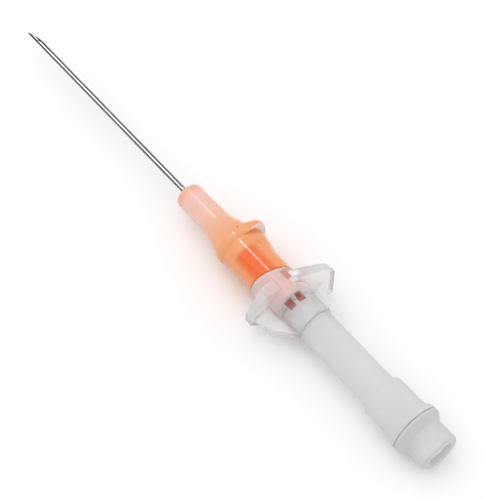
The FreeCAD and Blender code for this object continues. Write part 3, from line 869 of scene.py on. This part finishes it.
def make_needle_hub():
    """Clear needle hub: slanted skirt with windows, two guards, web, grip and luer nose."""
    hub = make_guards()
    into_wall = 0.5
    room = SKIRT_BORE_RADIUS + 0.2
    inside = turned("skirt_room", [
        (SKIRT_FRONT - 2, 0, 0),
        (BACK_WALL + into_wall, 0, 0),
        (BACK_WALL + into_wall, room, 0),
        (SKIRT_FRONT - 2, room, 0),
    ])
    combine(hub, inside, "DIFFERENCE")
    skirt = turned("skirt", [
        (SKIRT_FRONT - 1, SKIRT_BORE_RADIUS, 0),
        (BACK_WALL, SKIRT_BORE_RADIUS, 0.3),
        (BACK_WALL, 0, 0),
        (GRIP_END, 0, 0),
        (GRIP_END, GRIP_RADIUS, 0.25),
        (GRIP, GRIP_RADIUS, 0.3),
        (GRIP, SKIRT_RADIUS, 0.3),
        (SKIRT_FRONT - 1, SKIRT_RADIUS, 0),
    ])
    combine(skirt, slant_cutter("skirt_front", SKIRT_FRONT, behind=False), "DIFFERENCE")
    combine(hub, skirt, "UNION")
    window_front = SKIRT_FRONT + 1.9
    window_back = SKIRT_FRONT + 3.8
    half_window = 1.6
    window_floor = 0.15
    window = plate("window", [
        (window_front, -half_window, 0.35),
        (window_back, -half_window, 0.35),
        (window_back, half_window, 0.35),
        (window_front, half_window, 0.35),
    ], -SKIRT_RADIUS - 0.3, -SKIRT_BORE_RADIUS - window_floor, view="side")
    repeat_round_axis(window, 3, HUB_CLEAR)
    combine(hub, window, "DIFFERENCE")
    nose = turned("luer_nose", [
        (LUER_NOSE, 0, 0),
        (BACK_WALL + into_wall, 0, 0),
        (BACK_WALL + into_wall, LUER_NOSE_RADIUS, 0),
        (HUB_END, LUER_NOSE_RADIUS, 0),
        (LUER_NOSE, luer(LUER_NOSE_RADIUS, HUB_END - LUER_NOSE), 0.2),
    ])
    combine(hub, nose, "UNION")
    channel = turned("needle_channel", [
        (LUER_FLOOR, 0, 0),
        (GRIP_END + 1, 0, 0),
        (GRIP_END + 1, SPIGOT_RADIUS, 0),
        (SPIGOT_FLOOR, SPIGOT_RADIUS, 0),
        (SPIGOT_FLOOR, WELL_RADIUS, 0),
        (WELL_FLOOR, WELL_RADIUS, 0.2),
        (WELL_FLOOR, NEEDLE_RADIUS, 0),
        (LUER_FLOOR, NEEDLE_RADIUS, 0),
    ])
    combine(hub, channel, "DIFFERENCE")
    half_long = 0.85
    half_wide = 0.7
    for across in (0.25, -1.75):
        for low, high in ((2.4, 5.0), (-5.0, -2.4)):
            core_out = plate("core_out", [
                (GRIP - half_long, across - half_wide, 0.25),
                (GRIP + half_long, across - half_wide, 0.25),
                (GRIP + half_long, across + half_wide, 0.25),
                (GRIP - half_long, across + half_wide, 0.25),
            ], low, high)
            combine(hub, core_out, "DIFFERENCE")
    return dress(hub, "needle_set", "needle_hub", HUB_CLEAR, sharp=2)


def make_guards():
    """Swept top guard, pointed bottom guard and the web behind them."""
    front = SKIRT_FRONT + 2.0
    back = front + 2.4
    top_front = front + 3.9
    top_back = top_front + 1.2
    low_front = front + 1.3
    low_back = low_front + 1.3
    slab = plate("guards", [
        (front, 0, 0),
        (top_front, GUARD_REACH, 0),
        (top_back, GUARD_REACH, 0),
        (back, 0, 0),
        (low_back, -GUARD_REACH, 0),
        (low_front, -GUARD_REACH, 0),
    ], -GUARD_HALF_HEIGHT, GUARD_HALF_HEIGHT)
    face = plate("guard_face", [
        (-GUARD_REACH, -0.8, 0.5),
        (-GUARD_REACH, 0.8, 0.5),
        (-4.2, GUARD_HALF_HEIGHT, 0.8),
        (0, 3.3, 1.5),
        (2.9, GUARD_HALF_HEIGHT, 0.5),
        (GUARD_REACH, GUARD_HALF_HEIGHT, 1.6),
        (GUARD_REACH, -GUARD_HALF_HEIGHT, 1.6),
        (2.9, -GUARD_HALF_HEIGHT, 0.5),
        (0, -3.3, 1.5),
        (-4.2, -GUARD_HALF_HEIGHT, 0.8),
    ], SKIRT_FRONT, GRIP_END, view="front")
    combine(slab, face, "INTERSECT")
    soften(slab, 0.35, 50)
    web = plate("web", [
        (top_back - 0.6, 0, 0),
        (top_back - 0.6, 6.2, 0),
        (GRIP_END - 0.02, 3.3, 0),
        (GRIP_END - 0.02, -3.3, 0),
        (low_back + 3.2, -6.2, 1.0),
        (low_back - 0.65, -6.9, 0),
        (low_back - 0.65, 0, 0),
    ], -0.7, 0.7, soft=0.2)
    combine(slab, web, "UNION")
    return slab


def make_adhesive():
    """Bead of adhesive that climbs the needle a little."""
    bead = turned("adhesive_bead", [
        (WELL_FLOOR, NEEDLE_RADIUS, 0),
        (SPIGOT_FLOOR + 0.3, NEEDLE_RADIUS, 0.05),
        (SPIGOT_FLOOR - 0.15, 0.75, 0.4),
        (SPIGOT_FLOOR - 0.2, WELL_RADIUS, 0.05),
        (WELL_FLOOR, WELL_RADIUS, 0.1),
    ], around=AROUND_THIN)
    return dress(bead, "needle_set", "needle_adhesive", GLUE)


def make_chamber():
    """Clear flash chamber: spigot, barrel, and the wider vent socket with its V-shaped rim."""
    chamber = turned("flash_chamber_wall", [
        (SPIGOT_FLOOR, CHAMBER_BORE_RADIUS, 0.1),
        (SOCKET_FLOOR, CHAMBER_BORE_RADIUS, 0.1),
        (SOCKET_FLOOR, luer(LUER_MOUTH_RADIUS, RIM_FACE - SOCKET_FLOOR), 0.1),
        (RIM_FACE, LUER_MOUTH_RADIUS, 0.1),
        (RIM_FACE, RIM_RADIUS, 0.2),
        (RIM, RIM_RADIUS, 0.25),
        (SLEEVE_END, SLEEVE_RADIUS, 0.8),
        (SLEEVE, SLEEVE_RADIUS, 0.6),
        (BARREL_END, BARREL_RADIUS, 0.8),
        (GRIP_END, BARREL_FRONT_RADIUS, 0.15),
        (GRIP_END, SPIGOT_RADIUS, 0.1),
        (SPIGOT_FLOOR, SPIGOT_RADIUS, 0.1),
    ])
    return dress(chamber, "needle_set", "flash_chamber", CLEAR)


def make_plug():
    """Vent plug: luer nose, flange and round head."""
    nose_root = PLUG_FACE - 0.1
    plug = turned("vent_plug_body", [
        (PLUG_NOSE, VENT_BORE_RADIUS, 0.1),
        (FILTER_FLOOR, VENT_BORE_RADIUS, 0.1),
        (FILTER_FLOOR, FILTER_RADIUS, 0.1),
        (TAIL, FILTER_RADIUS, 0.2),
        (TAIL, HEAD_RADIUS, 1.0),
        (HEAD, HEAD_RADIUS, 0.5),
        (PLUG_RIM_END, RIM_RADIUS, 0.25),
        (PLUG_FACE, RIM_RADIUS, 0.2),
        (PLUG_FACE, LUER_NOSE_RADIUS, 0),
        (nose_root, LUER_NOSE_RADIUS, 0),
        (PLUG_NOSE, luer(LUER_NOSE_RADIUS, nose_root - PLUG_NOSE), 0.15),
    ])
    return dress(plug, "vent", "vent_plug", MILKY)


def make_filter():
    """Porous disc in the plug's counterbore."""
    disc = turned("filter_disc", [
        (FILTER_FLOOR, 0, 0),
        (FILTER_FACE, 0, 0),
        (FILTER_FACE, FILTER_RADIUS, 0.15),
        (FILTER_FLOOR, FILTER_RADIUS, 0.05),
    ])
    return dress(disc, "vent", "vent_filter", FILTER)


make_needle()
make_tube()
make_eyelet()
make_hub()
make_needle_hub()
make_adhesive()
make_chamber()
make_plug()
make_filter()


# Studio

FRAME_WIDTH_PX = 484
FOCAL_PX = 1581
SENSOR_MM = 36
CAMERA_AZIMUTH = 50.5
CAMERA_ELEVATION = 58
CAMERA_DISTANCE = 255
TARGET_STATION = 59.3

# The sun's direction, and the strip lamp's place and aim, in metres.
SUN_DIRECTION = Vector((0.38, 0.15, -0.91))
STRIP_PLACE = Vector((-0.19, 0.04, 0.42))
STRIP_DIRECTION = Vector((0.20, -0.04, -0.42))


def compass(azimuth, elevation):
    """Unit vector towards a place on the sky, with azimuth counted from -Y towards +X."""
    a, e = math.radians(azimuth), math.radians(elevation)
    return Vector((math.sin(a) * math.cos(e), -math.cos(a) * math.cos(e), math.sin(e)))


def aim(item, towards):
    """Turn a camera or lamp at its place so that it looks along a direction."""
    item.rotation_euler = towards.to_track_quat("-Z", "Y").to_euler()


def seen_directly(tree):
    """1 where the camera sees a surface, or sees it through glass or in a reflection."""
    path = tree.nodes.new("ShaderNodeLightPath").outputs
    seen = calculated(tree, "MAXIMUM", path["Is Camera Ray"], path["Is Glossy Ray"])
    return calculated(tree, "MAXIMUM", seen, path["Is Transmission Ray"])


def make_floor():
    """Matte white table top that keeps the soft shadow."""
    def fill(shape):
        reach = 1.5
        corners = ((-reach, -reach), (reach, -reach), (reach, reach), (-reach, reach))
        shape.faces.new([shape.verts.new((x, y, 0)) for x, y in corners])
    floor = new_object("table_top", fill)
    material, tree, shader = new_material("white_table")
    white = tinted(tree, (0.85, 0.85, 0.85), seen_directly(tree), (0.97, 0.97, 0.97))
    tree.links.new(white, shader.inputs["Base Color"])
    shader.inputs["Roughness"].default_value = 0.9
    shader.inputs["Specular IOR Level"].default_value = 0.1
    floor.data.materials.append(material)


def make_world():
    """White where the camera looks past the table; a plain grey studio otherwise, darker low down."""
    world = bpy.data.worlds.new("studio")
    world.use_nodes = True
    bpy.context.scene.world = world
    tree = world.node_tree
    link = tree.links.new
    background = tree.nodes["Background"]
    where = tree.nodes.new("ShaderNodeTexCoord")
    split = tree.nodes.new("ShaderNodeSeparateXYZ")
    choose = tree.nodes.new("ShaderNodeMix")
    choose.data_type = "FLOAT"
    choose.inputs["B"].default_value = 1.0
    link(where.outputs["Generated"], split.inputs[0])
    link(seen_directly(tree), choose.inputs["Factor"])
    link(ramped(tree, split.outputs["Z"], (0.0, 0.9), (0.90, 0.96)), choose.inputs["A"])
    link(choose.outputs["Result"], background.inputs["Strength"])
    background.inputs["Color"].default_value = (1, 1, 1, 1)


def make_lamps():
    """A very broad soft light from the camera's side, and a narrow strip for thin highlights."""
    broad = bpy.data.lights.new("broad_light", "SUN")
    broad.energy = 0.45
    broad.angle = math.radians(60)
    aim(in_scene("broad_light", broad), SUN_DIRECTION)
    strip = bpy.data.lights.new("strip_light", "AREA")
    strip.shape = "RECTANGLE"
    strip.size = 0.02
    strip.size_y = 0.10
    strip.energy = 0.22
    lamp = in_scene("strip_light", strip)
    lamp.visible_diffuse = False
    lamp.visible_transmission = False
    lamp.location = STRIP_PLACE
    aim(lamp, STRIP_DIRECTION)


def make_camera():
    """Camera at the photograph's angle, with the photograph's framing."""
    camera = bpy.data.cameras.new("camera")
    camera.sensor_fit = "HORIZONTAL"
    camera.sensor_width = SENSOR_MM
    camera.lens = FOCAL_PX * SENSOR_MM / FRAME_WIDTH_PX
    camera.clip_start = 0.01
    item = in_scene("camera", camera)
    away = compass(CAMERA_AZIMUTH, CAMERA_ELEVATION)
    item.location = place(TARGET_STATION) + away * CAMERA_DISTANCE * MM
    aim(item, -away)
    bpy.context.scene.camera = item


make_floor()
make_world()
make_lamps()
make_camera()
bpy.context.scene.view_settings.view_transform = "Standard"
